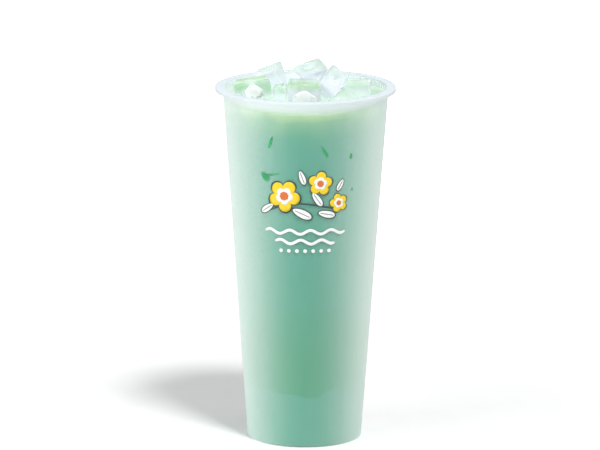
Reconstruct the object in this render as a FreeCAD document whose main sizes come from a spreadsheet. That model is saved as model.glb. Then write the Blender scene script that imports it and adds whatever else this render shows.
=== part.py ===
import FreeCAD, Part
import os
import Sketcher
from FreeCAD import Placement, Rotation, Vector

# Iced milk tea in a takeaway cup: an injection-moulded polypropylene cup, the drink that fills
# it almost to the brim, and the moulded ice blocks heaped in its mouth.
# Millimetres, +Z up.  The origin is the centre of the foot ring, on the surface it stands on.

doc = FreeCAD.newDocument("iced_milk_tea")

# ---------------------------------------------------------------------------------- sizes

SIZES = (
    ("cup_height", 178.0, "foot to the top of the rim"),
    ("foot_diameter", 57.0, "outside of the wall at the foot"),
    ("neck_diameter", 82.5, "outside of the wall at the height of the rim"),
    ("wall_thickness", 0.9, "side wall"),
    ("neck_thickness", 1.3, "side wall just under the brim"),
    ("neck_length", 2.4, "how far the thick neck goes down"),
    ("neck_ramp", 1.2, "height over which the neck thins to the wall"),
    ("floor_thickness", 1.0, "cup floor"),
    ("floor_rounding", 2.0, "inside, between floor and wall"),
    ("foot_recess", 2.0, "floor above the standing surface"),
    ("foot_ring_width", 2.4, "flat ring that the cup stands on"),
    ("foot_rounding", 0.8, "outer edge of the foot"),
    ("gate_diameter", 5.0, "moulding gate under the floor"),
    ("gate_depth", 0.6, "how far the gate stands out"),
    ("rim_diameter", 90.0, "outside of the rolled flange"),
    ("flange_thickness", 1.0, "flat top of the flange"),
    ("skirt_depth", 2.0, "flange top to the skirt's lower edge"),
    ("skirt_thickness", 0.9, "skirt that hangs from the flange"),
    ("rim_rounding", 0.42, "edges of flange and skirt"),
    ("bead_width", 0.9, "raised ring that a film or lid seals on"),
    ("bead_height", 0.2, "its height over the flange"),
    ("bead_inset", 1.7, "its centre, in from the brim's outer edge"),
    ("headspace", 4.2, "free height between the drink and the brim"),
    ("block_side", 17.5, "side of a whole ice block's wide face"),
    ("block_draft", 6.0, "taper of the mould's walls, degrees"),
    ("block_rounding", 1.6, "melted edges of a block"),
    ("dimple_share", 0.29, "dimple's radius, as a share of the face's shorter side"),
    ("dimple_depth", 1.8, "dimple in a block's wide face"),
    ("dimple_rounding", 0.5, "edge of the dimple"),
    ("wall_gap", 0.3, "least gap between a block and the cup's wall"),
)

sheet = doc.addObject("Spreadsheet::Sheet", "Sizes")
for row, (alias, value, note) in enumerate(SIZES, start=1):
    sheet.set("A%d" % row, note)
    sheet.set("B%d" % row, "%g" % value)
    sheet.setAlias("B%d" % row, alias)
doc.recompute()


def size(expression):
    """The number that an expression in the sheet's aliases has now."""
    return float(sheet.evalExpression(expression))


# Expressions that more than one piece is built from.
FOOT_RADIUS = "Sizes.foot_diameter / 2"
WALL_SLOPE = "(Sizes.neck_diameter - Sizes.foot_diameter) / 2 / Sizes.cup_height"
FLOOR_TOP = "(Sizes.foot_recess + Sizes.floor_thickness)"
LEVEL = "(Sizes.cup_height - Sizes.headspace)"
NECK_END = "(Sizes.cup_height - Sizes.neck_length)"
RAMP_END = "(Sizes.cup_height - Sizes.neck_length - Sizes.neck_ramp)"
UNDER_FLANGE = "(Sizes.cup_height - Sizes.flange_thickness)"
SKIRT_END = "(Sizes.cup_height - Sizes.skirt_depth)"
RIM_RADIUS = "Sizes.rim_diameter / 2"
SKIRT_INSIDE = "(Sizes.rim_diameter / 2 - Sizes.skirt_thickness)"
BEAD_RADIUS = "(Sizes.rim_diameter / 2 - Sizes.bead_inset)"
RING_INSIDE = "(Sizes.foot_diameter / 2 - Sizes.foot_ring_width)"


def wall_radius(height, thickness="0"):
    """Expression for the tapered wall's radius at a height, less a thickness."""
    return "(%s + %s * %s - %s)" % (FOOT_RADIUS, height, WALL_SLOPE, thickness)


MOUTH_RADIUS = wall_radius("Sizes.cup_height", "Sizes.neck_thickness")

# ---------------------------------------------------------------------- ways of building


def new_body(label):
    body = doc.addObject("PartDesign::Body", "Body_" + label)
    body.Label = label
    return body


def origin_feature(body, role):
    return [item for item in body.Origin.OriginFeatures if item.Role == role][0]


def new_sketch(body, name, plane):
    sketch = body.newObject("Sketcher::SketchObject", name)
    sketch.AttachmentSupport = [(origin_feature(body, plane), "")]
    sketch.MapMode = "FlatFace"
    return sketch


def bind(sketch, kind, first, first_point, second, second_point, name, expression):
    """One distance of a sketch, named and bound to the sheet."""
    number = sketch.addConstraint(
        Sketcher.Constraint(kind, first, first_point, second, second_point, size(expression)))
    sketch.renameConstraint(number, name)
    sketch.setExpression("Constraints." + name, expression)


def half_section(body, name, corners):
    """A closed outline in the XZ plane: each corner is (name, radius, height), as expressions.

    A corner with radius "0" lies on the axis, one with height "0" on the standing surface.
    """
    sketch = new_sketch(body, name, "XZ_Plane")
    points = [Vector(size(radius), size(height), 0) for _, radius, height in corners]
    count = len(points)
    for i in range(count):
        sketch.addGeometry(Part.LineSegment(points[i], points[(i + 1) % count]), False)
    for i in range(count):
        sketch.addConstraint(Sketcher.Constraint("Coincident", i, 2, (i + 1) % count, 1))
    for i, (corner, radius, height) in enumerate(corners):
        if radius == "0":
            sketch.addConstraint(Sketcher.Constraint("PointOnObject", i, 1, -2))
        else:
            bind(sketch, "DistanceX", -1, 1, i, 1, corner + "_radius", radius)
        if height == "0":
            sketch.addConstraint(Sketcher.Constraint("PointOnObject", i, 1, -1))
        else:
            bind(sketch, "DistanceY", -1, 1, i, 1, corner + "_height", height)
    return sketch


def turned(body, kind, sketch, name):
    """Revolve a half section about the cup's axis, to add it or to cut it away."""
    feature = body.newObject(kind, name)
    feature.Profile = sketch
    feature.ReferenceAxis = (origin_feature(body, "Z_Axis"), [""])
    feature.Angle = 360.0
    doc.recompute()
    return feature


def hoops(feature, places):
    """Names of the circular edges that lie at the given (radius, height) places."""
    found = []
    for radius, height in places:
        for number, edge in enumerate(feature.Shape.Edges, start=1):
            if edge.Degenerated or not isinstance(edge.Curve, Part.Circle):
                continue
            near = abs(edge.Curve.Radius - size(radius)) < 0.02
            if near and abs(edge.Curve.Center.z - size(height)) < 0.02:
                found.append("Edge%d" % number)
    return found


def rounded(body, feature, edges, name, radius):
    """Round the named edges of a feature, with a radius bound to the sheet."""
    fillet = body.newObject("PartDesign::Fillet", name)
    fillet.Base = (feature, edges)
    fillet.Radius = size(radius)
    fillet.setExpression("Radius", radius)
    doc.recompute()
    return fillet


# ------------------------------------------------------------------------------------ cup

# The room inside the cup: the same outline is cut from the cup and filled by the drink.
INSIDE = (
    ("floor_centre", "0", FLOOR_TOP),
    ("floor_corner", wall_radius(FLOOR_TOP, "Sizes.wall_thickness"), FLOOR_TOP),
    ("ramp_end", wall_radius(RAMP_END, "Sizes.wall_thickness"), RAMP_END),
    ("neck_end", wall_radius(NECK_END, "Sizes.neck_thickness"), NECK_END),
    ("mouth", MOUTH_RADIUS, "Sizes.cup_height"),
    ("mouth_centre", "0", "Sizes.cup_height"),
)

# Outside: recessed floor with its gate, foot ring, tapered wall, and the flange with its skirt
# and sealing bead.
OUTSIDE = (
    ("gate_bottom", "0", "(Sizes.foot_recess - Sizes.gate_depth)"),
    ("gate_edge", "Sizes.gate_diameter / 2", "(Sizes.foot_recess - Sizes.gate_depth)"),
    ("gate_root", "Sizes.gate_diameter / 2", "Sizes.foot_recess"),
    ("recess", RING_INSIDE, "Sizes.foot_recess"),
    ("ring_inside", RING_INSIDE, "0"),
    ("foot", FOOT_RADIUS, "0"),
    ("neck", wall_radius(UNDER_FLANGE), UNDER_FLANGE),
    ("skirt_root", SKIRT_INSIDE, UNDER_FLANGE),
    ("skirt_inside", SKIRT_INSIDE, SKIRT_END),
    ("skirt_outside", RIM_RADIUS, SKIRT_END),
    ("rim", RIM_RADIUS, "Sizes.cup_height"),
    ("bead_outside", "(%s + Sizes.bead_width / 2)" % BEAD_RADIUS, "Sizes.cup_height"),
    ("bead_top", BEAD_RADIUS, "(Sizes.cup_height + Sizes.bead_height)"),
    ("bead_inside", "(%s - Sizes.bead_width / 2)" % BEAD_RADIUS, "Sizes.cup_height"),
    ("brim_centre", "0", "Sizes.cup_height"),
)

cup = new_body("cup")
outside = turned(cup, "PartDesign::Revolution", half_section(cup, "CupOutside", OUTSIDE), "CupForm")
inside = turned(cup, "PartDesign::Groove", half_section(cup, "CupInside", INSIDE), "CupRoom")
floor_round = rounded(cup, inside, hoops(inside, [INSIDE[1][1:]]), "FloorRounding",
                      "Sizes.floor_rounding")
foot_round = rounded(cup, floor_round, hoops(floor_round, [(FOOT_RADIUS, "0")]), "FootRounding",
                     "Sizes.foot_rounding")
RIM_EDGES = (
    (MOUTH_RADIUS, "Sizes.cup_height"),
    (RIM_RADIUS, "Sizes.cup_height"),
    (RIM_RADIUS, SKIRT_END),
    (SKIRT_INSIDE, SKIRT_END),
)
rim_round = rounded(cup, foot_round, hoops(foot_round, RIM_EDGES), "RimRounding",
                    "Sizes.rim_rounding")
cup.Tip = rim_round
doc.recompute()

# ------------------------------------------------------------------------------ ice blocks

# Each block comes from the same kind of mould: a square wide face with a round dimple, four
# drafted sides and a smaller flat face, all edges melted round.  Warm drink has melted each one
# to a size of its own.  A row holds the name, the centre's place across the mouth and above the
# drink (in block sides), the turn about Z, then about its own Y and X (degrees), and how much
# of the whole block's width, depth and height is left.
BLOCKS = (
    ("ice_front_left", -1.491, -0.480, 0.160, 4, -9, 96, 1.04, 0.83, 0.83),
    ("ice_back_left", -0.926, 0.423, 0.171, -13, -23, 7, 0.79, 0.91, 1.03),
    ("ice_back_centre", 0.246, 0.806, 0.189, 13, -17, 6, 0.86, 0.98, 1.02),
    ("ice_right_back", 0.594, -0.263, 0.286, 2, 42, 47, 0.63, 0.86, 0.96),
    ("ice_front_centre", -0.063, -1.257, 0.177, 2, 1, 103, 0.98, 0.96, 0.89),
    ("ice_right", 1.451, 0.091, -0.074, 0, -4, 182, 0.93, 0.98, 0.85),
    ("ice_front_right", 1.074, -1.109, -0.331, -38, 30, 32, 0.84, 0.97, 0.96),
    ("ice_small_left", -0.691, -0.829, 0.029, -3, -8, -2, 0.39, 0.74, 0.75),
    ("ice_middle", -0.263, -0.091, -0.069, -13, -4, 5, 0.62, 0.62, 0.62),
    ("ice_far_left", -1.554, 1.048, -0.274, 34, 3, 4, 0.62, 0.62, 0.70),
    ("ice_far_right", 1.274, 1.200, -0.343, -46, -3, 2, 0.97, 0.91, 0.97),
    ("ice_far_back", -0.240, 1.617, -0.114, 13, -10, -7, 1.03, 0.97, 0.97),
)

# A block that leans on the wall is melted back to it: this cone follows the inside of the cup,
# one gap away from it, and goes on above the brim.
REACH_ABOVE = 40.0
reach = doc.addObject("Part::Cone", "Reach")
reach.setExpression("Height", "Sizes.cup_height + %g" % REACH_ABOVE)
reach.setExpression("Radius1", wall_radius("0", "Sizes.neck_thickness") + " - Sizes.wall_gap")
reach.setExpression("Radius2", wall_radius("(Sizes.cup_height + %g)" % REACH_ABOVE,
                                           "Sizes.neck_thickness") + " - Sizes.wall_gap")


def ice_block(label, across, along, above, turn, pitch, roll, width, depth, height):
    """A drafted, rounded and dimpled block, set in its place and melted back to the wall."""
    wide = "(Sizes.block_side * %g)" % width
    deep = "(Sizes.block_side * %g)" % depth
    tall = "(Sizes.block_side * %g)" % height
    shorter = "(Sizes.block_side * %g)" % min(width, depth)
    dimple = "(%s * Sizes.dimple_share)" % shorter
    sink = "(Sizes.dimple_depth * %g)" % min(width, depth)
    ball = "((%s ^ 2 + %s ^ 2) / (2 * %s))" % (dimple, sink, sink)

    body = new_body(label + "_block")
    sketch = new_sketch(body, "WideFace_" + label, "XY_Plane")
    sketch.setExpression("AttachmentOffset.Base.z", tall + " / 2")
    half_wide = size(wide) / 2
    half_deep = size(deep) / 2
    signs = ((-1, -1), (1, -1), (1, 1), (-1, 1))
    corners = [Vector(i * half_wide, j * half_deep, 0) for i, j in signs]
    for i in range(4):
        sketch.addGeometry(Part.LineSegment(corners[i], corners[(i + 1) % 4]), False)
    for i in range(4):
        sketch.addConstraint(Sketcher.Constraint("Coincident", i, 2, (i + 1) % 4, 1))
    for i in (0, 2):
        sketch.addConstraint(Sketcher.Constraint("Horizontal", i))
        sketch.addConstraint(Sketcher.Constraint("Vertical", i + 1))
    sketch.addConstraint(Sketcher.Constraint("Symmetric", 0, 1, 1, 2, -1, 1))
    bind(sketch, "DistanceX", 0, 1, 0, 2, "wide", wide)
    bind(sketch, "DistanceY", 1, 1, 1, 2, "deep", deep)

    pad = body.newObject("PartDesign::Pad", "Draft_" + label)
    pad.Profile = sketch
    pad.Reversed = True
    pad.setExpression("Length", tall)
    pad.setExpression("TaperAngle", "-Sizes.block_draft")
    doc.recompute()
    edges = ["Edge%d" % number for number in range(1, len(pad.Shape.Edges) + 1)]
    melt = "min(Sizes.block_rounding; %s * 0.2)" % shorter
    melted = rounded(body, pad, edges, "Melt_" + label, melt)

    scoop = body.newObject("PartDesign::SubtractiveSphere", "Dimple_" + label)
    scoop.AttachmentSupport = [(origin_feature(body, "XY_Plane"), "")]
    scoop.MapMode = "FlatFace"
    scoop.AttachmentOffset = Placement(Vector(0, 0, 0), Rotation(Vector(1, 0, 0), 90))
    scoop.setExpression("Radius", ball)
    scoop.setExpression("AttachmentOffset.Base.z", "%s / 2 + %s - %s" % (tall, ball, sink))
    doc.recompute()
    lip = hoops(scoop, [(dimple, tall + " / 2")])
    body.Tip = rounded(body, scoop, lip, "Lip_" + label, "Sizes.dimple_rounding")

    body.Placement = Placement(Vector(0, 0, 0), Rotation(turn, pitch, roll))
    body.setExpression("Placement.Base.x", "Sizes.block_side * %g" % across)
    body.setExpression("Placement.Base.y", "Sizes.block_side * %g" % along)
    body.setExpression("Placement.Base.z", "%s + Sizes.block_side * %g" % (LEVEL, above))
    doc.recompute()

    block = doc.addObject("Part::Common", "Common_" + label)
    block.Label = label
    block.Base = body
    block.Tool = reach
    return block


ice = [ice_block(*row) for row in BLOCKS]
doc.recompute()

# --------------------------------------------------------------------------------- drink

# The drink fills the room inside the cup up to its level, around the ice that sits in it.
room = new_body("room")
filled = turned(room, "PartDesign::Revolution", half_section(room, "RoomInside", INSIDE),
                "RoomForm")
room.Tip = rounded(room, filled, hoops(filled, [INSIDE[1][1:]]), "RoomRounding",
                   "Sizes.floor_rounding")
doc.recompute()

# The pool reaches well past the cup, so that a block that is trimmed by the wall is still cut
# out of it whole.
pool = doc.addObject("Part::Cylinder", "BelowLevel")
pool.setExpression("Radius", RIM_RADIUS + " * 2")
pool.setExpression("Height", LEVEL)
for block in ice:
    around = doc.addObject("Part::Cut", "Around_" + block.Label)
    around.Base = pool
    around.Tool = block.Base
    doc.recompute()
    pool = around
drink = doc.addObject("Part::Common", "Drink")
drink.Label = "milk_tea"
drink.Base = pool
drink.Tool = room
doc.recompute()

# -------------------------------------------------------------------------------- export

PIECES = [cup, drink] + ice

for item in doc.Objects:
    if "Invalid" in item.State or "Error" in item.State:
        raise RuntimeError("%s failed: %s" % (item.Label, item.State))
for piece in PIECES:
    shape = piece.Shape
    if shape.isNull() or not shape.isValid() or len(shape.Solids) != 1:
        raise RuntimeError("%s has no valid single solid" % piece.Label)

os.makedirs("parts", exist_ok=True)
for piece in PIECES:
    piece.Shape.exportStep(os.path.join("parts", piece.Label + ".step"))
    print("%-18s %10.1f mm3" % (piece.Label, piece.Shape.Volume))
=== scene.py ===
import bpy
import math
import numpy as np
from mathutils import Matrix, Vector


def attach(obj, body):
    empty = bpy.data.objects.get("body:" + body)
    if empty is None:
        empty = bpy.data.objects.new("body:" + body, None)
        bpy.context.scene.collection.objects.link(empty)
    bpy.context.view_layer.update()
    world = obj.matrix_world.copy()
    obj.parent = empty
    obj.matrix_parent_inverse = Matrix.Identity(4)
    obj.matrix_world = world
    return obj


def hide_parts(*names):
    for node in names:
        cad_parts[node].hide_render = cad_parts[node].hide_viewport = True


# Iced milk tea in a takeaway cup.  Metres, +Z up, the cup's axis at the origin, its front at -Y.
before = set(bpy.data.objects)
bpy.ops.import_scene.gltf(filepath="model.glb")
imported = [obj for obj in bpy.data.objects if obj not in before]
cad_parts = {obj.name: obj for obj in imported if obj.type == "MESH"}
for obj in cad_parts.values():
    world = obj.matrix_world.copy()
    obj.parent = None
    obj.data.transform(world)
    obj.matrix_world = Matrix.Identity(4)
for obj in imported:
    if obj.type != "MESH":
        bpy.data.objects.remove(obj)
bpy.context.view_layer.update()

# ------------------------------------------------------------------------------ the cup
# Injection-moulded polypropylene, a millimetre thick and milky: it lets the drink through
# where it is looked at straight on and turns pale where it is looked at along the wall.
# Wall, floor, flange and skirt are one moulding, with faint flow lines up the wall.
CUP_HEIGHT = 0.178
FOOT_RADIUS = 0.0285
NECK_RADIUS = 0.04125
WALL_SLOPE = (NECK_RADIUS - FOOT_RADIUS) / CUP_HEIGHT
WALL = 0.0009
LEVEL = 0.1738  # of the drink, where the wall's look changes from tinted to bare


def outer_radius(height):
    """Radius of the cup's outer wall: a straight taper from the foot to the rim."""
    return FOOT_RADIUS + WALL_SLOPE * height


def shader(name):
    """An empty node material, with a short way to add a node and fill or link its inputs."""
    made = bpy.data.materials.new(name)
    made.use_nodes = True
    tree = made.node_tree
    tree.nodes.clear()

    def add(kind, inputs=(), **values):
        node = tree.nodes.new(kind)
        for key, value in values.items():
            setattr(node, key, value)
        for key, value in dict(inputs).items():
            if isinstance(value, bpy.types.NodeSocket):
                tree.links.new(value, node.inputs[key])
            else:
                node.inputs[key].default_value = value
        return node

    return made, add


def ramp(add, factor, stops):
    """A colour ramp over a factor; stops are (place, colour) in order."""
    node = add("ShaderNodeValToRGB", {"Fac": factor})
    elements = node.color_ramp.elements
    while len(elements) < len(stops):
        elements.new(0.5)
    for element, (place, colour) in zip(elements, stops):
        element.position = place
        element.color = (*colour, 1.0)
    return node.outputs["Color"]


def spread(add, value, low, high, start, end, smooth=False):
    """A value carried from low..high to start..end."""
    return add("ShaderNodeMapRange", {"Value": value, "From Min": low, "From Max": high,
                                      "To Min": start, "To Max": end},
               interpolation_type="SMOOTHSTEP" if smooth else "LINEAR").outputs["Result"]


def blend_colour(add, factor, first, second):
    """Mixes two colours, each a colour or a link, by a factor."""
    node = add("ShaderNodeMix", {0: factor}, data_type="RGBA")
    for socket, value in ((node.inputs[6], first), (node.inputs[7], second)):
        if isinstance(value, bpy.types.NodeSocket):
            node.id_data.links.new(value, socket)
        else:
            socket.default_value = (*value, 1.0)
    return node.outputs[2]


FLOW_SCALE = (70.0, 70.0, 7.0)  # a tenth as fine up the wall as round it
PEEL_SCALE, PEEL_SHARE = 1100.0, 0.12
SKIN_DEPTH, SKIN_STRENGTH = 0.0004, 0.12


def moulded_skin_group():
    """Flow lines up the wall and fine orange peel: a normal, and a mask of uneven milkiness."""
    group = bpy.data.node_groups.new("moulded_skin", "ShaderNodeTree")
    for name, way, kind in (("Vector", "INPUT", "NodeSocketVector"),
                            ("Strength", "INPUT", "NodeSocketFloat"),
                            ("Normal", "OUTPUT", "NodeSocketVector"),
                            ("Unevenness", "OUTPUT", "NodeSocketFloat")):
        group.interface.new_socket(name, in_out=way, socket_type=kind)
    nodes, links = group.nodes, group.links
    entry, leave = nodes.new("NodeGroupInput"), nodes.new("NodeGroupOutput")
    along = nodes.new("ShaderNodeMapping")
    along.inputs["Scale"].default_value = FLOW_SCALE
    links.new(entry.outputs["Vector"], along.inputs["Vector"])
    flow = nodes.new("ShaderNodeTexNoise")
    flow.inputs["Scale"].default_value = 1.0
    flow.inputs["Detail"].default_value = 3.0
    links.new(along.outputs["Vector"], flow.inputs["Vector"])
    peel = nodes.new("ShaderNodeTexNoise")
    peel.inputs["Scale"].default_value = PEEL_SCALE
    links.new(entry.outputs["Vector"], peel.inputs["Vector"])
    both = nodes.new("ShaderNodeMath")
    both.operation = "MULTIPLY_ADD"
    both.inputs[1].default_value = PEEL_SHARE
    links.new(peel.outputs["Fac"], both.inputs[0])
    links.new(flow.outputs["Fac"], both.inputs[2])
    bump = nodes.new("ShaderNodeBump")
    bump.inputs["Distance"].default_value = SKIN_DEPTH
    links.new(entry.outputs["Strength"], bump.inputs["Strength"])
    links.new(both.outputs[0], bump.inputs["Height"])
    links.new(bump.outputs["Normal"], leave.inputs["Normal"])
    links.new(flow.outputs["Fac"], leave.inputs["Unevenness"])
    return group


MOULDED_SKIN = moulded_skin_group()
# Tints of the plastic: against the drink, bare above it, on the inner wall, on the flange. The
# inner wall's tint is painted light: paler, to lift the shade that wall lies in above the drink.
WALL_TINTS = (0.735, 0.86, 0.80), (0.78, 0.89, 0.835)
BARE_TINT = (0.70, 0.765, 0.76)
# Painted light: a paler white for the inner wall above the drink, standing in for light in its
# shade.
INNER_WALL_PAINTED_LIGHT = (0.84, 0.92, 0.93)
FLANGE_TINT = (0.72, 0.80, 0.855)
THROUGH_TINT = (0.90, 0.95, 0.94, 1.0)  # of lamplight that has passed the wall
# Heights and radii over which one look gives way to the next.
BARE_FADE = LEVEL - 0.0048, LEVEL + 0.001
THICK_FADE = LEVEL - 0.0044, LEVEL + 0.0008
INNER_WALL_LIGHT_FADE = 0.0403, 0.0408
FLANGE_FADE = 0.1773, 0.1778
FOOT_FADE = 0.0, 0.09
FOOT_SHARE, WALL_SHARE, RIM_SHARE = 0.78, 0.95, 0.86  # the most milk seen at each
SHARE_POWER = 1.12
GRAIN_SCALE = 5200.0
GRAIN_SHARE = -0.10, 0.13


def milky_plastic():
    """A mix of see-through and a glossy milk white.  Its milky share is one less the squared
    cosine of the viewing angle, to a power, with a fine grain; the thick rim is milky from
    every side.  The wall takes a little green from the drink, the rim stays a cool white."""
    made, add = shader("milky_plastic")
    place = add("ShaderNodeTexCoord").outputs["Object"]
    height = add("ShaderNodeSeparateXYZ", {0: place}).outputs["Z"]
    skin = add("ShaderNodeGroup", node_tree=MOULDED_SKIN)
    skin.inputs["Strength"].default_value = SKIN_STRENGTH
    made.node_tree.links.new(place, skin.inputs["Vector"])
    wall = ramp(add, skin.outputs["Unevenness"], [(0.3, WALL_TINTS[0]), (0.7, WALL_TINTS[1])])
    bare = spread(add, height, *BARE_FADE, 0.0, 1.0, True)
    tint = blend_colour(add, bare, wall, BARE_TINT)
    flat = add("ShaderNodeVectorMath", {0: place, 1: (1.0, 1.0, 0.0)}, operation="MULTIPLY")
    radius = add("ShaderNodeVectorMath", {0: flat.outputs[0]}, operation="LENGTH").outputs["Value"]
    # Painted light: where the inner wall stands above the drink, a paler tint lifts its shade.
    inner = spread(add, radius, *INNER_WALL_LIGHT_FADE, 1.0, 0.0, True)
    inner = add("ShaderNodeMath", {0: inner, 1: bare}, operation="MULTIPLY").outputs[0]
    tint = blend_colour(add, inner, tint, INNER_WALL_PAINTED_LIGHT)
    flange = spread(add, height, *FLANGE_FADE, 0.0, 1.0, True)
    tint = blend_colour(add, flange, tint, FLANGE_TINT)
    milk = add("ShaderNodeBsdfPrincipled", {"Base Color": tint, "Roughness": 0.38, "IOR": 1.46,
                                            "Specular IOR Level": 0.3,
                                            "Normal": skin.outputs["Normal"]})
    clear = add("ShaderNodeBsdfTransparent")
    facing = add("ShaderNodeLayerWeight", {"Blend": 0.5}).outputs["Facing"]
    rest = add("ShaderNodeMath", {0: 2.0, 1: facing}, operation="SUBTRACT").outputs[0]
    share = add("ShaderNodeMath", {0: facing, 1: rest}, operation="MULTIPLY").outputs[0]
    share = add("ShaderNodeMath", {0: share, 1: SHARE_POWER}, operation="POWER").outputs[0]
    grain = add("ShaderNodeTexNoise", {"Vector": place, "Scale": GRAIN_SCALE, "Detail": 0.0})
    uneven = spread(add, grain.outputs["Fac"], 0.2, 0.8, *GRAIN_SHARE)
    milky = spread(add, height, *FOOT_FADE, FOOT_SHARE, WALL_SHARE)
    share = add("ShaderNodeMath", {0: share, 1: milky, 2: uneven},
                operation="MULTIPLY_ADD").outputs[0]
    thick = spread(add, height, *THICK_FADE, 0.0, RIM_SHARE, True)
    share = add("ShaderNodeMath", {0: share, 1: thick}, operation="MAXIMUM",
                use_clamp=True).outputs[0]
    wall_mix = add("ShaderNodeMixShader", {0: share, 1: clear.outputs[0], 2: milk.outputs[0]})
    through = add("ShaderNodeBsdfTransparent", {"Color": THROUGH_TINT})
    shadow = add("ShaderNodeLightPath").outputs["Is Shadow Ray"]
    mix = add("ShaderNodeMixShader", {0: shadow, 1: wall_mix.outputs[0], 2: through.outputs[0]})
    add("ShaderNodeOutputMaterial", {"Surface": mix.outputs[0]})
    return made


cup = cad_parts["cup"]
cup.data.materials.clear()
cup.data.materials.append(milky_plastic())

# ---------------------------------------------------------------------------- the drink
# Jasmine green tea with milk, an opaque jade green.  It fills the cup to just under the
# brim, wets the wall with a small meniscus, and is paler near the top, where melted ice
# thins it.  It reaches just into the wall, so that no air shows between the two.
FLOOR = 0.003
FLOOR_CORNER = np.array([0.0, 0.0001, 0.0003])
INTO_WALL = 0.0003
MENISCUS, MENISCUS_REACH = 0.0007, 0.0007
SWELL = 0.00012
SWELL_RATES = 310, 270, 90  # radians a metre


def grid_faces(rows, columns, closed=True):
    """Quads of a grid of points, row by row; a closed grid joins its last column to its first."""
    i = np.arange(rows - 1)[:, None]
    j = np.arange(columns if closed else columns - 1)[None, :]
    k = (j + 1) % columns
    return np.stack([i * columns + j, i * columns + k, (i + 1) * columns + k,
                     (i + 1) * columns + j], axis=-1).reshape(-1, 4)


def closed_skin(rings):
    """A skin over rows of rings, shut by a fan at each end, as points and faces."""
    rows, columns = rings.shape[:2]
    points = rings.reshape(-1, 3)
    ends = np.stack([rings[0].mean(0), rings[-1].mean(0)])
    j = np.arange(columns)
    k = (j + 1) % columns
    last = (rows - 1) * columns
    start = np.stack([np.full(columns, len(points)), k, j], axis=1)
    end = np.stack([np.full(columns, len(points) + 1), last + j, last + k], axis=1)
    return np.concatenate([points, ends]), [grid_faces(rows, columns), start, end]


def piece(name, points, faces, material, slot, nodes=(), marks=None):
    """A smooth mesh of the part that rides on the root and stands for the named nodes; marks
    are values for each point that its material reads."""
    mesh = bpy.data.meshes.new(name)
    groups = faces if isinstance(faces, list) else [faces]
    mesh.from_pydata(np.asarray(points, float).reshape(-1, 3), [],
                     [quad for group in groups for quad in group.tolist()])
    for mark, values in (marks or {}).items():
        held = mesh.attributes.new(mark, "FLOAT", "POINT").data
        held.foreach_set("value", np.asarray(values, "float32"))
    mesh.shade_smooth()
    mesh.materials.append(material)
    made = bpy.data.objects.new(name, mesh)
    bpy.context.scene.collection.objects.link(made)
    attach(made, "root")
    if nodes:
        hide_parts(*nodes)


def drink_rings(spokes=192):
    """A profile (radius, height) turned about the cup's axis: from the floor's centre out, up
    the wall and in over the surface.  The surface rises to the wall by an exponential
    meniscus and swells by two low sine waves."""
    up = np.concatenate([FLOOR + FLOOR_CORNER,
                         np.linspace(FLOOR + 0.002, LEVEL - 0.02, 24),
                         np.linspace(LEVEL - 0.019, LEVEL + MENISCUS, 28)])
    wall = outer_radius(up) - WALL + INTO_WALL
    across = np.linspace(0.02, 1.0, 40)[:-1]
    inner = wall[-1] * (1 - np.linspace(0.0, 0.985, 90) ** 1.6)[1:]
    radius = np.concatenate([wall[0] * across, wall, inner])
    height = np.concatenate([np.full(len(across), FLOOR), up,
                             LEVEL + MENISCUS * np.exp(-(wall[-1] - inner) / MENISCUS_REACH)])
    turn = np.linspace(0.0, 2 * math.pi, spokes, endpoint=False)
    x = radius[:, None] * np.cos(turn)
    y = radius[:, None] * np.sin(turn)
    z = np.repeat(height[:, None], spokes, axis=1)
    top = (np.arange(len(radius)) >= len(across) + len(up))[:, None]
    first, second, slant = SWELL_RATES
    z = z + top * SWELL * (np.sin(x * first + 0.6) + np.sin(y * second + x * slant))
    return np.stack([x, y, z], axis=-1)


# Colours of the drink, from the deep of the cup up to its open top.
FOOT_TEA = (0.106, 0.385, 0.245)
SETTLED_TEA = (0.19, 0.49, 0.46)
BODY_TEAS = (0.110, 0.40, 0.300), (0.126, 0.425, 0.325)
PALE_TEAS = (0.26, 0.53, 0.25), (0.74, 0.85, 0.47), (0.62, 0.78, 0.56)
SKIM_TEA = (0.74, 0.77, 0.72)
OPEN_TEA = (0.62, 0.77, 0.62)
FOOT_TEA_FADE = 0.095, 0.038
SETTLED_FADE, SETTLED_SHARE = (0.0280, 0.0292), 0.34
SKIM_FADE, SKIM_SHARE = (LEVEL - 0.0016, LEVEL - 0.0002), 0.8
PALE_DEPTH = 0.026
PALE_WANDER = -0.0022, 0.0030
# How pale the drink is, from the bottom of that depth (0) to its surface (1).
PALE_SHARES = ((0.0, 0.0), (0.46, 0.07), (0.76, 0.30), (0.90, 0.72), (1.0, 1.0))


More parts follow.
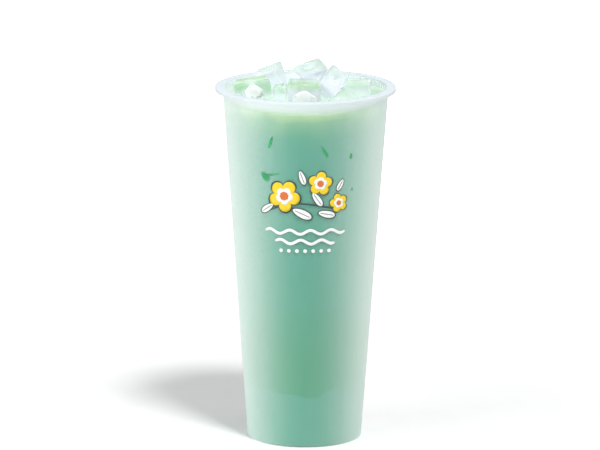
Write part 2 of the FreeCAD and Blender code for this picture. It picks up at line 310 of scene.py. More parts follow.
def milk_tea_material():
    """Opaque jade green with soft clouds of milk and a wet gloss, paler just under the
    surface, where the depth of the pale part wanders."""
    made, add = shader("milk_tea")
    place = add("ShaderNodeTexCoord").outputs["Object"]
    height = add("ShaderNodeSeparateXYZ", {0: place}).outputs["Z"]
    wander = add("ShaderNodeTexNoise", {"Vector": place, "Scale": 55.0, "Detail": 1.5})
    lift = spread(add, wander.outputs["Fac"], 0.3, 0.7, *PALE_WANDER)
    high = add("ShaderNodeMath", {0: height, 1: lift}, operation="ADD").outputs[0]
    depth = spread(add, high, LEVEL - PALE_DEPTH, LEVEL, 0.0, 1.0)
    cloud = add("ShaderNodeTexNoise", {"Vector": place, "Scale": 30.0, "Detail": 3.0})
    body = ramp(add, cloud.outputs["Fac"], [(0.3, BODY_TEAS[0]), (0.7, BODY_TEAS[1])])
    deep = spread(add, high, *FOOT_TEA_FADE, 0.0, 1.0, True)
    body = blend_colour(add, deep, body, FOOT_TEA)
    settled = spread(add, high, *SETTLED_FADE, SETTLED_SHARE, 0.0, True)
    body = blend_colour(add, settled, body, SETTLED_TEA)
    fade = ramp(add, depth, [(stop, (share,) * 3) for stop, share in PALE_SHARES])
    pale = ramp(add, depth, list(zip((0.0, 0.8, 1.0), PALE_TEAS)))
    skim = spread(add, height, *SKIM_FADE, 0.0, SKIM_SHARE, True)
    pale = blend_colour(add, skim, pale, SKIM_TEA)
    top = add("ShaderNodeAttribute", attribute_name="open_top").outputs["Fac"]
    pale = blend_colour(add, top, pale, OPEN_TEA)
    tint = blend_colour(add, fade, body, pale)
    look = add("ShaderNodeBsdfPrincipled", {"Base Color": tint, "Roughness": 0.5, "IOR": 1.33})
    add("ShaderNodeOutputMaterial", {"Surface": look.outputs[0]})
    return made


TEA = milk_tea_material()
OPEN_RADIUS, OPEN_FADE = 0.0395, 0.003  # the top seen from above, clear of the wall
SURFACE_DEPTH = 0.0012
drink, faces = closed_skin(drink_rings())
open_top = np.clip((OPEN_RADIUS - np.hypot(drink[:, 0], drink[:, 1])) / OPEN_FADE, 0, 1)
piece("milk_tea_body", drink, faces, TEA, "milk_tea", ("milk_tea",),
      {"open_top": np.where(drink[:, 2] > LEVEL - SURFACE_DEPTH, open_top, 0.0)})

# Painted light: the green that the drink's light gives the foot's milky plastic is painted as a
# tea-coloured ring set inside the foot ring.
FOOT_MIDDLE, FOOT_HALF_HEIGHT = 0.00185, 0.00135
FOOT_INSET, FOOT_HALF_WIDTH, FOOT_TUCK = 0.00125, 0.0006, 0.0003
FOOT_SQUARENESS = 0.35


def foot_rings(spokes=128, around=20):
    """A squared oval, a cosine and a sine each to a small power, turned about the cup's axis;
    its lower side is tucked in, clear of the foot ring's rounded edge."""
    turn = np.linspace(0.0, 2 * math.pi, spokes, endpoint=False)[:, None]
    section = np.linspace(0.0, 2 * math.pi, around, endpoint=False)[None, :]
    flat = np.sign(np.cos(section)) * np.abs(np.cos(section)) ** FOOT_SQUARENESS
    tall = np.sign(np.sin(section)) * np.abs(np.sin(section)) ** FOOT_SQUARENESS
    height = FOOT_MIDDLE + FOOT_HALF_HEIGHT * tall
    radius = (outer_radius(height) - FOOT_INSET + FOOT_HALF_WIDTH * flat
              - FOOT_TUCK * (tall < -0.5))
    return np.stack([radius * np.cos(turn), radius * np.sin(turn),
                     height * np.ones_like(turn)], axis=-1)


rings = foot_rings()
joined = grid_faces(len(rings) + 1, rings.shape[1]) % (len(rings) * rings.shape[1])
piece("foot_painted_drink_light", rings, joined[:, ::-1], TEA, "milk_tea")

# ------------------------------------------------------------------------------- the ice
# Blocks from a dice-ice mould: a square wide face with a round dimple, drafted sides and a
# smaller flat face.  Each has melted to a size of its own, with rounded, slightly wavy
# faces, and carries a thin film of the drink where it was poured over.
BLOCK_SIDE = 0.0175
BLOCKS = (
    # name, across, along, above the drink (in block sides), turn, pitch, roll (degrees),
    # and the width, depth and height left
    ("front_left", -1.491, -0.480, 0.160, 4, -9, 96, 1.04, 0.83, 0.83),
    ("back_left", -0.926, 0.423, 0.171, -13, -23, 7, 0.79, 0.91, 1.03),
    ("back_centre", 0.246, 0.806, 0.189, 13, -17, 6, 0.86, 0.98, 1.02),
    ("right_back", 0.594, -0.263, 0.286, 2, 42, 47, 0.63, 0.86, 0.96),
    ("front_centre", -0.063, -1.257, 0.177, 2, 1, 103, 0.98, 0.96, 0.89),
    ("right", 1.451, 0.091, -0.074, 0, -4, 182, 0.93, 0.98, 0.85),
    ("front_right", 1.074, -1.109, -0.331, -38, 30, 32, 0.84, 0.97, 0.96),
    ("small_left", -0.691, -0.829, 0.029, -3, -8, -2, 0.39, 0.74, 0.75),
    ("middle", -0.263, -0.091, -0.069, -13, -4, 5, 0.62, 0.62, 0.62),
    ("far_left", -1.554, 1.048, -0.274, 34, 3, 4, 0.62, 0.62, 0.70),
    ("far_right", 1.274, 1.200, -0.343, -46, -3, 2, 0.97, 0.91, 0.97),
    ("far_back", -0.240, 1.617, -0.114, 13, -10, -7, 1.03, 0.97, 0.97),
)
DRAFT = math.tan(math.radians(6.0))
MELT, MELT_WAVE = 0.0016, 0.0004
MOST_MELT = 0.2  # of the lesser side of the wide face
CROWDING = 1.15  # draws the grid's lines towards the edges
DIMPLE_DEPTH = 0.0018
DIMPLE_SHARE = 0.29  # of the wide face, from its middle to the dimple's edge
DIMPLE_POWER = 1.4


def cube_skin(n):
    """A cube of side 2 as one closed grid: six n by n faces that share their edge points."""
    line = np.linspace(-1.0, 1.0, n + 1)
    u, v = np.meshgrid(line, line, indexing="ij")
    one = np.ones_like(u)
    sides = [(v, u, one), (u, v, -one), (one, v, u), (-one, u, v), (u, one, v), (v, -one, u)]
    points = np.concatenate([np.stack(side, -1).reshape(-1, 3) for side in sides])
    step = (n + 1) ** 2
    quads = np.concatenate([grid_faces(n + 1, n + 1, closed=False) + k * step for k in range(6)])
    _, first, back = np.unique(np.round(points * n * 4).astype(int), axis=0,
                               return_index=True, return_inverse=True)
    return points[first], back.reshape(-1)[quads]


def block_turn(turn, pitch, roll):
    """The turn about Z, then about the block's own Y, then about its own X."""
    return np.array(Matrix.Rotation(math.radians(turn), 3, "Z")
                    @ Matrix.Rotation(math.radians(pitch), 3, "Y")
                    @ Matrix.Rotation(math.radians(roll), 3, "X"))


def waves(points, rng, count, low, high):
    """A smooth random field: the mean of plane sine waves with random directions and phases,
    and rates from low to high, in radians for each unit of the points."""
    direction = rng.normal(size=(count, 3))
    direction *= (rng.uniform(low, high, count) / np.linalg.norm(direction, axis=1))[:, None]
    return np.sin(points @ direction.T + rng.uniform(0, 6.3, count)).mean(axis=1)


def melted_block(width, depth, height, rng, n=30):
    """A rounded box: each point of a cube is pulled to the box's inner core and put one melt
    radius out from it.  The sides are drafted, the wide face is dimpled by a smooth bowl,
    and low waves stand for uneven melting.  The third value is 1 in the dimple."""
    cube, quads = cube_skin(n)
    half = np.array([width, depth, height]) / 2
    melt = min(MELT, MOST_MELT * min(width, depth))
    crowded = np.sign(cube) * (1 - (1 - np.abs(cube)) ** CROWDING)
    at = crowded * half
    core = np.clip(at, -(half - melt), half - melt)
    out = at - core
    normal = out / np.maximum(np.linalg.norm(out, axis=1, keepdims=True), 1e-9)
    points = core + normal * melt
    points[:, :2] *= 1.0 - (half[2] - points[:, 2:3]) * DRAFT / half[None, :2]
    points += normal * (waves(points, rng, 8, 200, 600) * MELT_WAVE)[:, None]
    away = np.hypot(points[:, 0], points[:, 1]) / (min(width, depth) * DIMPLE_SHARE)
    bowl = np.clip(1.0 - away ** 2, 0.0, 1.0) ** DIMPLE_POWER
    dip = np.where(cube[:, 2] > 0.999, bowl, 0.0)
    points[:, 2] -= dip * DIMPLE_DEPTH * min(width, depth) / BLOCK_SIDE
    return points, quads, dip, normal


CLEAR_ICE = (0.865, 0.868, 0.95)
FILM_GREEN = (0.39, 0.66, 0.37)
FROST_WHITE = (0.93, 0.96, 0.98)
ICE_THROUGH = (0.95, 0.98, 0.97, 1.0)  # of lamplight that has passed the ice


def ice_material():
    """Wet clear ice that lets the lamps through: glass with melt ripples, frosted in the mould's
    dimple and tinted where a film of the drink lies on it."""
    made, add = shader("ice")
    place = add("ShaderNodeTexCoord").outputs["Object"]
    film = add("ShaderNodeAttribute", attribute_name="film").outputs["Fac"]
    frost = add("ShaderNodeAttribute", attribute_name="frost").outputs["Fac"]
    ripple = add("ShaderNodeTexNoise", {"Vector": place, "Scale": 150.0, "Detail": 2.0})
    patch = add("ShaderNodeTexNoise", {"Vector": place, "Scale": 130.0, "Detail": 2.0})
    streak = spread(add, patch.outputs["Fac"], 0.38, 0.62, 0.45, 1.0, True)
    coat = add("ShaderNodeMath", {0: film, 1: streak}, operation="MULTIPLY").outputs[0]
    tint = blend_colour(add, coat, CLEAR_ICE, FILM_GREEN)
    tint = blend_colour(add, frost, tint, FROST_WHITE)
    melt = spread(add, patch.outputs["Fac"], 0.35, 0.65, 0.03, 0.12)
    rough = add("ShaderNodeMath", {0: frost, 1: 0.3, 2: melt},
                operation="MULTIPLY_ADD").outputs[0]
    bump = add("ShaderNodeBump", {"Strength": 0.12, "Distance": 0.0007,
                                  "Height": ripple.outputs["Fac"]})
    clear = add("ShaderNodeBsdfPrincipled", {"Base Color": tint, "Roughness": rough, "IOR": 1.31,
                                             "Transmission Weight": 0.58,
                                             "Normal": bump.outputs["Normal"]})
    through = add("ShaderNodeBsdfTransparent", {"Color": ICE_THROUGH})
    shadow = add("ShaderNodeLightPath").outputs["Is Shadow Ray"]
    mix = add("ShaderNodeMixShader", {0: shadow, 1: clear.outputs[0], 2: through.outputs[0]})
    add("ShaderNodeOutputMaterial", {"Surface": mix.outputs[0]})
    return made


ICE = ice_material()
# The film round the top of a block: its strength, and the share of the block's height that it
# starts at.  Faces that look up keep a little film as well.
FILMED = {"front_left": (0.80, 0.46), "front_centre": (0.80, 0.76), "right": (0.30, 0.72),
          "front_right": (0.22, 0.68), "small_left": (0.75, 0.66)}
OTHER_FILM = (0.2, 0.72)
FILM_FADE = 0.14
TOP_FILM = 0.28
FILM_WANDER = 0.5  # of the film's lower border
DIMPLE_FROST = 0.6  # the filmed blocks have frost of full strength
PLACES = []
for number, (name, across, along, above, turn, pitch, roll, wide, deep, tall) in enumerate(BLOCKS):
    rng = np.random.default_rng(40 + number)
    size = BLOCK_SIDE * np.array([wide, deep, tall])
    spin = block_turn(turn, pitch, roll)
    centre = BLOCK_SIDE * np.array([across, along, above]) + np.array([0, 0, LEVEL])
    PLACES.append((name, size, spin, centre))
    shape, quads, dip, normal = melted_block(*size, rng)
    placed = shape @ spin.T + centre
    up = np.clip((normal @ spin.T)[:, 2] * 1.6 - 0.5, 0.0, 1.0)  # 0 where a face is steep
    rise = (placed[:, 2] - placed[:, 2].min()) / np.ptp(placed[:, 2])
    strength, start = FILMED.get(name, OTHER_FILM)
    wander = FILM_WANDER * waves(shape, rng, 6, 200, 500)
    band = np.clip((rise - start) / FILM_FADE + wander, 0.0, 1.0)
    film = np.clip(up * TOP_FILM + band * strength, 0.0, 1.0)
    piece("ice_%s_block" % name, placed, quads, ICE, "ice", ("ice_" + name,),
          {"film": film, "frost": dip * (1.0 if name in FILMED else DIMPLE_FROST)})

# ---------------------------------------------------------------- the white in the ice
# Water freezes in a mould from the outside in, and drives its air to the middle: each block
# has a white cloud at its heart and a scatter of round bubbles, and some have thin bright
# cracks.  Frost stands as a dome over the dimple of two of them.


WHITEST = 0.9  # share of white where the wisps are thickest
CLOUD_CRUMPLE = 0.45
CLOUD_SHARES = 0.24, 0.32  # of the block each way from its middle
CRACK_GAP = 0.0001
CRACK_SHARES, CRACK_OFF = (0.26, 0.36), 0.08  # radius and place, as shares of the block
CRACK_BEND = 0.35  # of the crack's radius


def cloud_body(size, rng, rings=18, spokes=28):
    """A ball by latitude and turn, stretched to over half of the block and crumpled by waves."""
    tilt = np.linspace(0.12, math.pi - 0.12, rings)[:, None]
    turn = np.linspace(0, 2 * math.pi, spokes, endpoint=False)[None, :]
    ball = np.stack([np.sin(tilt) * np.cos(turn), np.sin(tilt) * np.sin(turn),
                     np.cos(tilt) * np.ones_like(turn)], axis=-1)
    crumple = 1 + CLOUD_CRUMPLE * waves(ball.reshape(-1, 3), rng, 6, 3, 9).reshape(rings, spokes, 1)
    return ball * crumple * size * rng.uniform(*CLOUD_SHARES, 3)


def wispy_white(name, colour, low, high, scale):
    """Trapped air: white that shows in wisps, see-through between them.  Noise of that scale
    is clear below low and whitest above high."""
    made, add = shader(name)
    place = add("ShaderNodeTexCoord").outputs["Object"]
    wisp = add("ShaderNodeTexNoise", {"Vector": place, "Scale": scale, "Detail": 4.0,
                                      "Distortion": 0.8})
    share = spread(add, wisp.outputs["Fac"], low, high, 0.0, WHITEST, True)
    white = add("ShaderNodeBsdfPrincipled", {"Base Color": (*colour, 1.0), "Roughness": 0.45})
    clear = add("ShaderNodeBsdfTransparent")
    mix = add("ShaderNodeMixShader", {0: share, 1: clear.outputs[0], 2: white.outputs[0]})
    add("ShaderNodeOutputMaterial", {"Surface": mix.outputs[0]})
    return made


def gather(parts):
    """Joins many closed skins into one set of points and faces."""
    points, faces, start = [], [], 0
    for shape, groups in parts:
        points.append(shape)
        faces += [group + start for group in groups]
        start += len(shape)
    return np.concatenate(points), faces


def crack_sheet(size, rng, rings=9, spokes=26):
    """A thin wavy disc by radius and turn: out over its upper side and back under the lower,
    a tenth of a millimetre apart, set at random near the block's middle."""
    reach = np.concatenate([np.linspace(0.08, 1.0, rings), np.linspace(0.96, 0.08, rings)])
    turn = np.linspace(0, 2 * math.pi, spokes, endpoint=False)
    edge = 1 + 0.3 * np.sin(turn * 2 + rng.uniform(0, 6)) + 0.12 * np.sin(turn * 5)
    flat = np.stack([reach[:, None] * edge * np.cos(turn), reach[:, None] * edge * np.sin(turn),
                     np.zeros((2 * rings, spokes))], axis=-1)
    bend = waves(flat.reshape(-1, 3), rng, 4, 2, 5).reshape(2 * rings, spokes)
    radius = size.min() * rng.uniform(*CRACK_SHARES)
    shape = flat * radius
    lift = np.where(np.arange(2 * rings) < rings, CRACK_GAP / 2, -CRACK_GAP / 2)[:, None]
    shape[..., 2] = bend * radius * CRACK_BEND + lift
    turned = block_turn(*rng.uniform(-90, 90, 3))
    return shape @ turned.T + rng.uniform(-CRACK_OFF, CRACK_OFF, 3) * size


def bubble(radius, centre, rings=5, spokes=8):
    """A small ball by latitude and turn."""
    tilt = np.linspace(0.3, math.pi - 0.3, rings)[:, None]
    turn = np.linspace(0, 2 * math.pi, spokes, endpoint=False)[None, :]
    return centre + radius * np.stack(
        [np.sin(tilt) * np.cos(turn), np.sin(tilt) * np.sin(turn),
         np.cos(tilt) * np.ones_like(turn)], axis=-1)


CLOUD = wispy_white("trapped_air", (0.93, 0.96, 0.98), 0.50, 0.72, 260.0)
CRACK = wispy_white("crack_white", (0.96, 0.99, 1.0), 0.50, 0.60, 520.0)
CRACKED = ("front_centre", "back_centre", "front_right", "far_right")
CRACKS, BUBBLES = 2, 6  # in a block
BUBBLE_RADII, BUBBLE_OFF = (0.00012, 0.0004), 0.36  # places are shares of the block
# Radius, bulge and lift above the dimple's middle, of each dome of frost; and how far under
# the block's face the dome's edge and its back lie.
FROSTED = {"front_left": (0.0051, 0.0020, 0.0007), "front_centre": (0.0061, 0.0013, 0.0004)}
DOME_SUNK, DOME_BACK = 0.0002, 0.0006
DOME_EDGE_WAVE, DOME_FACE_WAVE = 0.22, 0.5


def frost_dome(size, rng, radius, bulge, lift, rings=14, spokes=72):
    """A dome of frost over the block's dimple by radius and turn: it rises by the square root
    of one less the squared radius, with a wavy edge and face, and its back lies flat, just
    under the block's face."""
    reach = np.concatenate([np.linspace(0.04, 1.0, rings), np.linspace(0.97, 0.04, rings)])
    turn = np.linspace(0, 2 * math.pi, spokes, endpoint=False)
    dome = bulge * np.sqrt(1.0 - reach ** 2) - DOME_SUNK
    front = np.arange(2 * rings) < rings
    rise = np.where(front, dome, -DOME_BACK)
    side = np.stack([np.cos(turn), np.sin(turn), np.zeros(spokes)], axis=-1)
    edge = 1.0 + DOME_EDGE_WAVE * waves(side, rng, 8, 2.0, 7.0)
    at = (radius * reach[:, None] * edge)[..., None] * side[None]
    face = DOME_FACE_WAVE * waves(at.reshape(-1, 3), rng, 10, 700, 1500).reshape(at.shape[:2])
    at[..., 1] += lift
    at[..., 2] = size[2] / 2 + rise[:, None] * (1.0 + front[:, None] * face)
    return at


clouds, cracks, bubbles, domes = [], [], [], []
for number, (name, size, spin, centre) in enumerate(PLACES):
    rng = np.random.default_rng(90 + number)
    shape, faces = closed_skin(cloud_body(size, rng))
    clouds.append((shape @ spin.T + centre, faces))
    for _ in range(CRACKS if name in CRACKED else 0):
        shape, faces = closed_skin(crack_sheet(size, rng)[::-1])
        cracks.append((shape @ spin.T + centre, faces))
    for _ in range(BUBBLES):
        at = rng.uniform(-BUBBLE_OFF, BUBBLE_OFF, 3) * size
        shape, faces = closed_skin(bubble(rng.uniform(*BUBBLE_RADII), at))
        bubbles.append((shape @ spin.T + centre, faces))
    if name in FROSTED:
        shape, faces = closed_skin(frost_dome(size, rng, *FROSTED[name])[::-1])
        domes.append((shape @ spin.T + centre, faces))
piece("ice_frost", *gather(domes),
      wispy_white("mould_frost", (0.95, 0.965, 0.985), 0.20, 0.48, 260.0), "ice")
piece("ice_clouds", *gather(clouds), CLOUD, "ice")
piece("ice_cracks", *gather(cracks), CRACK, "ice")
piece("ice_bubbles", *gather(bubbles), CRACK, "ice")

# ------------------------------------------------------------ marks and drops on the wall
# A few dark green marks lie on the front of the wall, leaf-like and thin as paint; what they
# are is not certain.  Drops splashed as the drink was poured cling inside the wall above it.


def wall_point(arc, height, out):
    """A point on the cup's outer wall: arc metres round from the front, moved out by out."""
    radius = outer_radius(height)
    angle = arc / radius
    return np.stack([(radius + out) * np.sin(angle), -(radius + out) * np.cos(angle), height],
                    axis=-1)


# Each patch is its outline at these sizes: out over its outer side, back over its inner one.
PATCH_RINGS = 7
PATCH_SIZES = np.concatenate([np.linspace(0.04, 1.0, PATCH_RINGS),
                              np.linspace(0.98, 0.04, PATCH_RINGS)])


def wall_patch(outline, arc, height, out, thick, domed=1.0):
    """A thin closed patch that follows the wall: its outline is scaled ring by ring, and the
    outer side rises by the square root of one less the squared size, as far as it is domed."""
    dome = (1 - PATCH_SIZES ** 2) ** 0.5 * domed + (1 - domed)
    face = np.where(np.arange(2 * PATCH_RINGS) < PATCH_RINGS, dome, 0.0)
    return wall_point(arc + PATCH_SIZES[:, None] * outline[None, :, 0],
                      height + PATCH_SIZES[:, None] * outline[None, :, 1],
                      out + thick * face[:, None] * np.ones(len(outline)))


def drop_outline(long, wide, tilt, blunt=0.5, spokes=36):
    """A pointed oval: an ellipse whose width grows towards one end, turned by tilt degrees."""
    t = np.linspace(0, 2 * math.pi, spokes, endpoint=False)
    x = wide / 2 * np.sin(t) * (1 + blunt * np.cos(t))
    z = -long / 2 * np.cos(t)
    c, s = math.cos(math.radians(tilt)), math.sin(math.radians(tilt))
    return np.stack([x * c - z * s, x * s + z * c], axis=1)


def green_mark_material():
    """A wet dark green that fades out to the drink at the mark's own border."""
    made, add = shader("green_mark")
    place = add("ShaderNodeTexCoord").outputs["Object"]
    edge = add("ShaderNodeAttribute", attribute_name="middle").outputs["Fac"]
    grain = add("ShaderNodeTexNoise", {"Vector": place, "Scale": 420.0, "Detail": 2.0})
    tint = ramp(add, grain.outputs["Fac"],
                [(0.35, (0.035, 0.33, 0.13)), (0.65, (0.055, 0.46, 0.16))])
    share = add("ShaderNodeMath", {0: edge, 1: 0.9}, operation="MULTIPLY").outputs[0]
    look = add("ShaderNodeBsdfPrincipled", {"Base Color": tint, "Roughness": 0.6,
                                            "Specular IOR Level": 0.1})
    clear = add("ShaderNodeBsdfTransparent")
    mix = add("ShaderNodeMixShader", {0: share, 1: clear.outputs[0], 2: look.outputs[0]})
    shadow = add("ShaderNodeLightPath").outputs["Is Shadow Ray"]
    lit = add("ShaderNodeMixShader", {0: shadow, 1: mix.outputs[0], 2: clear.outputs[0]})
    add("ShaderNodeOutputMaterial", {"Surface": lit.outputs[0]})
    return made


MARK_GREEN = green_mark_material()
MARK_OUT, MARK_THICK = 0.00002, 0.00002
GREEN_MARKS = (
    # arc and height of the middle, length, width, tilt, bluntness, strength
    (-0.0176, 0.1568, 0.0074, 0.0019, -18, 0.1, 0.95),
    (0.0093, 0.1528, 0.0078, 0.0017, 29, 0.6, 1.0),
    (0.0238, 0.1493, 0.0034, 0.0019, -8, 0.2, 0.8),
    (0.0246, 0.1324, 0.0022, 0.0014, 0, 0.2, 0.5),
    (-0.0207, 0.1392, 0.0064, 0.0042, 48, 0.3, 0.85),
    (-0.0165, 0.1406, 0.0095, 0.0017, -80, 0.3, 0.4),
)
marks, middles = [], []
for arc, height, long, wide, tilt, blunt, strength in GREEN_MARKS:
    outline = drop_outline(long, wide, tilt, blunt)
    marks.append(closed_skin(wall_patch(outline, arc, height, MARK_OUT, MARK_THICK)))
    soft = strength * np.clip(1.1 * (1 - PATCH_SIZES ** 1.5), 0, 1)
    middles.append(np.concatenate([np.repeat(soft, len(outline)), [strength, strength]]))
piece("green_marks", *gather(marks), MARK_GREEN, "milk_tea", (),
      {"middle": np.concatenate(middles)})


def water_material():
    """A clear splash: thin green-tinted glass that lets the lamps through."""
    made, add = shader("splash")
    place = add("ShaderNodeTexCoord").outputs["Object"]
    grain = add("ShaderNodeTexNoise", {"Vector": place, "Scale": 300.0})
    tint = ramp(add, grain.outputs["Fac"],
                [(0.4, (0.93, 0.98, 0.97)), (0.6, (0.98, 1.0, 1.0))])
    clear = add("ShaderNodeBsdfPrincipled", {"Base Color": tint, "Roughness": 0.03, "IOR": 1.33,
                                             "Transmission Weight": 0.5})
    through = add("ShaderNodeBsdfTransparent")
    shadow = add("ShaderNodeLightPath").outputs["Is Shadow Ray"]
    mix = add("ShaderNodeMixShader", {0: shadow, 1: clear.outputs[0], 2: through.outputs[0]})
    add("ShaderNodeOutputMaterial", {"Surface": mix.outputs[0]})
    return made


DROPS = 64
DROP_RADII = 0.00025, 0.0008
DROP_HEIGHTS = LEVEL + 0.0016, CUP_HEIGHT - 0.0012
DROP_STRETCH = 1.0, 1.5
DROP_BULGE = 0.45  # of the drop's radius
NECK_WALL, NECK_INSIDE = 0.0013, 0.04
DROP_INTO_WALL = 0.00003
THICK_SIDE, THICK_SPREAD, THICK_SHARE = 0.75, 0.55, 0.6  # most drops are at the right back


def splash(rng, over=5, under=3, spokes=14):
    """A drop on the inner wall: a half ball by radius and turn, drawn out in height."""
    reach = np.concatenate([np.linspace(0.1, 1.0, over), np.linspace(0.9, 0.1, under)])[:, None]
    turn = np.linspace(0, 2 * math.pi, spokes, endpoint=False)
    wide = rng.uniform(*DROP_RADII)
    side = reach * np.cos(turn) * wide
    rise = reach * np.sin(turn) * wide * rng.uniform(*DROP_STRETCH)
    height = rng.uniform(*DROP_HEIGHTS) + rise
    ball = np.sqrt(np.clip(1 - reach ** 2, 0, 1))
    dome = np.where(np.arange(over + under)[:, None] < over, ball, 0.0)
    radius = outer_radius(height) - NECK_WALL - dome * wide * DROP_BULGE + DROP_INTO_WALL
    if rng.random() < THICK_SHARE:
        middle = rng.normal(THICK_SIDE, THICK_SPREAD)
    else:
        middle = rng.uniform(-3.1, 3.1)
    angle = middle + side / NECK_INSIDE
    return np.stack([radius * np.cos(angle), radius * np.sin(angle), height], axis=-1)


rng = np.random.default_rng(7)
drops = [closed_skin(splash(rng)) for _ in range(DROPS)]
piece("splashes", *gather(drops), water_material(), "ice")

# ---------------------------------------------------------------------------- the print
# Screen-printed ink on the front of the cup: a sprig of jasmine, each colour laid down as a
# layer a few hundredths of a millimetre thick, with two plain waved lines below it.


def ink_material(name, colour):
    """Satin screen ink with faint mottling from the mesh."""
    made, add = shader(name)
    place = add("ShaderNodeTexCoord").outputs["Object"]
    mottle = add("ShaderNodeTexNoise", {"Vector": place, "Scale": 900.0, "Detail": 2.0})
    darker = tuple(value * 0.9 for value in colour)
    tint = ramp(add, mottle.outputs["Fac"], [(0.4, darker), (0.6, colour)])
    bump = add("ShaderNodeBump", {"Strength": 0.15, "Distance": 0.0002,
                                  "Height": mottle.outputs["Fac"]})
    look = add("ShaderNodeBsdfPrincipled", {"Base Color": tint, "Roughness": 0.42,
                                            "Normal": bump.outputs["Normal"]})
    add("ShaderNodeOutputMaterial", {"Surface": look.outputs[0]})
    return made


INKS = {"ink_line": (0.03, 0.08, 0.07), "ink_yellow": (0.93, 0.66, 0.012),
        "ink_orange": (0.72, 0.17, 0.03), "ink_white": (0.93, 0.95, 0.93)}
LAYERS = {"ink_line": 0.00004, "ink_yellow": 0.00007, "ink_orange": 0.0001,
          "ink_white": 0.00006}
INK_SUNK, RIBBON_OUT = 0.00003, 0.00002
SHEETS = {name: [] for name in INKS}


def lay(ink, outline, arc, height, lift=0.0):
    """One patch of ink on the wall, flat-topped, sunk a little into the wall below."""
    patch = wall_patch(outline, arc, height, -INK_SUNK, INK_SUNK + LAYERS[ink] + lift, 0.12)
    SHEETS[ink].append(closed_skin(patch))


def blossom(radius, petals, turn, depth, spokes=120):
    """A flower's outline: a circle whose radius swells with the size of a cosine, once for
    each petal."""
    t = np.linspace(0, 2 * math.pi, spokes, endpoint=False)
    reach = radius * (1 - depth + depth * np.abs(np.cos(petals * (t - turn) / 2)) ** 0.55)
    return np.stack([reach * np.sin(t), -reach * np.cos(t)], axis=1)


def ribbon(path, wide, ink, lift=0.0):
    """A line of ink along a path of (arc, height) points: a flat oval carried along it, which
    narrows at both ends by the root of a sine."""
    path = np.asarray(path, float)
    step = np.gradient(path, axis=0)
    side = np.stack([-step[:, 1], step[:, 0]], axis=1) / np.linalg.norm(step, axis=1)[:, None]
    taper = np.clip(np.sin(np.linspace(0.04, math.pi - 0.04, len(path))) * 6, 0, 1) ** 0.5
    turn = np.linspace(0, 2 * math.pi, 10, endpoint=False)
    across = (np.cos(turn)[None, :, None] * side[:, None, :] * (wide / 2 * taper)[:, None, None]
              + path[:, None, :])
    out = RIBBON_OUT + (LAYERS[ink] + lift) * np.sin(turn)[None, :] * np.ones((len(path), 1))
    SHEETS[ink].append(closed_skin(wall_point(across[..., 0], across[..., 1], out)[::-1]))


# Sizes in the design, each a place round the wall (arc) and a height.  A colour that lies on
# another is lifted a hundredth of a millimetre or more above it.
STEP_UP = 0.00001
STEM_LEFT, STEM_LONG, STEM_WIDE = -0.0200, 0.0400, 0.0009
LEAF_WIDE, LEAF_BLUNT = 0.40, 0.15
LEAF_EDGE_LONG, LEAF_EDGE_WIDE = 1.14, 0.50  # of the leaf's length
RIB_LONG, RIB_WIDE = 0.8, 0.0004
LEAVES = (
    # arc, height, length, tilt
    (-0.0015, 0.1212, 0.0100, 65),
    (0.0060, 0.1285, 0.0080, 35),
    (-0.0195, 0.1232, 0.0075, -55),
    (-0.0015, 0.1395, 0.0072, 20),
    (0.0108, 0.1208, 0.0085, 78),
    (0.0178, 0.1352, 0.0062, -30),
)
FLOWERS = (
    # arc, height, radius, turn
    (-0.0105, 0.1300, 0.0088, 0.1),
    (0.0075, 0.1365, 0.0066, 0.5),
    (0.0170, 0.1262, 0.0052, 0.9),
)
FLOWER_LAYERS = (
    # ink, share of the flower's radius, petals, depth between them, steps up
    ("ink_line", 1.0, 5, 0.42, 2),
    ("ink_yellow", 0.91, 5, 0.42, 1),
    ("ink_white", 0.50, 5, 0.3, 4),
    ("ink_orange", 0.26, 8, 0.15, 3),
)
WAVE_LINES = ((0.1118, 0.0410), (0.1068, 0.0300))  # height, length
WAVE_DEEP, WAVE_WIDE = 0.0010, 0.0015
WAVE_RATE = 25 / 0.041  # radians a metre
DOTS, DOT_WIDE, DOT_APART, DOT_HEIGHT = 7, 0.0019, 0.0040, 0.1022

t = np.linspace(0, 1, 60)
# The stem rises, bows over and wavers a little on its way to the right.
stem_height = 0.1215 + 0.012 * t - 0.009 * t ** 2 + 0.0016 * np.sin(t * 5)
ribbon(np.stack([STEM_LEFT + STEM_LONG * t, stem_height], axis=1), STEM_WIDE, "ink_line")
for arc, height, long, tilt in LEAVES:
    lay("ink_line", drop_outline(long * LEAF_EDGE_LONG, long * LEAF_EDGE_WIDE, tilt, LEAF_BLUNT),
        arc, height)
    lay("ink_white", drop_outline(long, long * LEAF_WIDE, tilt, LEAF_BLUNT), arc, height, STEP_UP)
    lean = math.radians(tilt)
    rib = (t - 0.5)[:, None] * long * RIB_LONG * np.array([-math.sin(lean), math.cos(lean)])
    ribbon(rib + (arc, height), RIB_WIDE, "ink_line", 5 * STEP_UP)
for arc, height, radius, turn in FLOWERS:
    for ink, share, petals, depth, steps in FLOWER_LAYERS:
        lay(ink, blossom(radius * share, petals, turn, depth), arc, height, steps * STEP_UP)
for height, long in WAVE_LINES:
    wavy = height + WAVE_DEEP * np.sin(t * long * WAVE_RATE)
    ribbon(np.stack([(t - 0.5) * long, wavy], axis=1), WAVE_WIDE, "ink_white")
for number in range(DOTS):
    lay("ink_white", drop_outline(DOT_WIDE, DOT_WIDE, 0, 0.0),
        (number - DOTS // 2) * DOT_APART, DOT_HEIGHT)
for name, colour in INKS.items():
    piece("print_" + name[4:], *gather(SHEETS[name]), ink_material(name, colour), "cup_plastic")

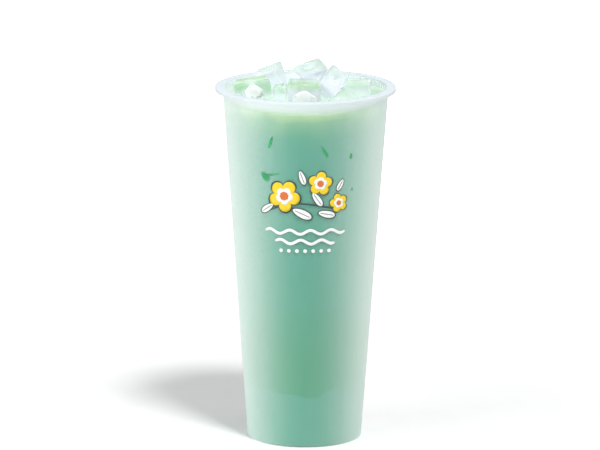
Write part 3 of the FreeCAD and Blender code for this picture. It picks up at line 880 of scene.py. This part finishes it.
# ---------------------------------------------------------------------- floor and light
# A plain pale floor under soft studio light, with a white surround.  A key lamp in front to
# the right throws the shadow; a wide lamp fills from the left and a weak one edges the right.
FLOOR_GREYS = 0.925, 0.935
FLOOR_HALF = 6.0
GLOW_FADE, GLOW = (0.13, 0.55), (0.07, 1.0)  # distances from the cup, and strengths there
SURROUND = 0.41  # as a lamp; the eye sees it, and what mirrors it, as white


def floor_material():
    """Matt near-white that keeps the soft shadow; a faint glow for the eye alone lifts it to
    white, more so far away, where the lamps fall off."""
    made, add = shader("studio_floor")
    place = add("ShaderNodeTexCoord").outputs["Object"]
    grain = add("ShaderNodeTexNoise", {"Vector": place, "Scale": 60.0})
    tint = ramp(add, grain.outputs["Fac"],
                [(stop, (grey,) * 3) for stop, grey in zip((0.4, 0.6), FLOOR_GREYS)])
    matt = add("ShaderNodeBsdfDiffuse", {"Color": tint})
    away = add("ShaderNodeVectorMath", {0: place}, operation="LENGTH").outputs["Value"]
    glow = spread(add, away, *GLOW_FADE, *GLOW, True)
    eye = add("ShaderNodeLightPath").outputs["Is Camera Ray"]
    level = add("ShaderNodeMath", {0: eye, 1: glow}, operation="MULTIPLY").outputs[0]
    lift = add("ShaderNodeEmission", {"Strength": level})
    both = add("ShaderNodeAddShader", {0: matt.outputs[0], 1: lift.outputs[0]})
    add("ShaderNodeOutputMaterial", {"Surface": both.outputs[0]})
    return made


floor_mesh = bpy.data.meshes.new("studio_floor")
corners = [(x * FLOOR_HALF, y * FLOOR_HALF, 0) for x, y in ((-1, -1), (1, -1), (1, 1), (-1, 1))]
floor_mesh.from_pydata(corners, [], [(0, 1, 2, 3)])
floor_mesh.materials.append(floor_material())
studio_floor = bpy.data.objects.new("studio_floor", floor_mesh)
bpy.context.scene.collection.objects.link(studio_floor)

world = bpy.data.worlds.new("white_studio")
world.use_nodes = True
bpy.context.scene.world = world
sky = world.node_tree
sky.nodes.clear()
ray = sky.nodes.new("ShaderNodeLightPath")
seen = sky.nodes.new("ShaderNodeMath")
seen.operation = "MAXIMUM"
sky.links.new(ray.outputs["Is Camera Ray"], seen.inputs[0])
sky.links.new(ray.outputs["Is Glossy Ray"], seen.inputs[1])
through = sky.nodes.new("ShaderNodeMath")
through.operation = "MAXIMUM"
sky.links.new(seen.outputs[0], through.inputs[0])
sky.links.new(ray.outputs["Is Transmission Ray"], through.inputs[1])
strength = sky.nodes.new("ShaderNodeMapRange")
strength.inputs["To Min"].default_value = SURROUND
strength.inputs["To Max"].default_value = 1.0
sky.links.new(through.outputs[0], strength.inputs["Value"])
white = sky.nodes.new("ShaderNodeBackground")
sky.links.new(strength.outputs["Result"], white.inputs["Strength"])
white.inputs["Color"].default_value = (1.0, 1.0, 1.0, 1.0)
sky_out = sky.nodes.new("ShaderNodeOutputWorld")
sky.links.new(white.outputs[0], sky_out.inputs["Surface"])


LAMP_AIM = Vector((0, 0, 0.08))


def soft_lamp(name, place, size, power):
    """A square area lamp that faces the cup's middle."""
    data = bpy.data.lights.new(name, "AREA")
    data.size = size
    data.energy = power
    lamp = bpy.data.objects.new(name, data)
    lamp.location = place
    lamp.rotation_euler = (LAMP_AIM - Vector(place)).to_track_quat("-Z", "Y").to_euler()
    bpy.context.scene.collection.objects.link(lamp)


soft_lamp("key_front_right", (0.54, -1.10, 2.30), 0.42, 38.0)
soft_lamp("fill_left", (-0.95, -0.50, 0.28), 0.8, 6.2)
soft_lamp("edge_right", (0.95, -0.10, 0.80), 0.6, 1.2)

# The camera stands well back and looks down a little, with a long lens.
TILT, ROLL = math.radians(12.57), math.radians(0.22)
DISTANCE = 2.5
camera_data = bpy.data.cameras.new("camera")
camera_data.lens = 300.9
camera_data.sensor_width = 36.0
camera_data.clip_end = 50.0
camera = bpy.data.objects.new("camera", camera_data)
aim = Vector((-0.00253, 0.0, 0.1074))
back = Vector((0, -math.cos(TILT), math.sin(TILT))) * DISTANCE
camera.matrix_world = (Matrix.Translation(aim + back)
                       @ Matrix.Rotation(math.pi / 2 - TILT, 4, "X")
                       @ Matrix.Rotation(ROLL, 4, "Z"))
bpy.context.scene.collection.objects.link(camera)
bpy.context.scene.camera = camera
bpy.context.scene.view_settings.view_transform = "Standard"
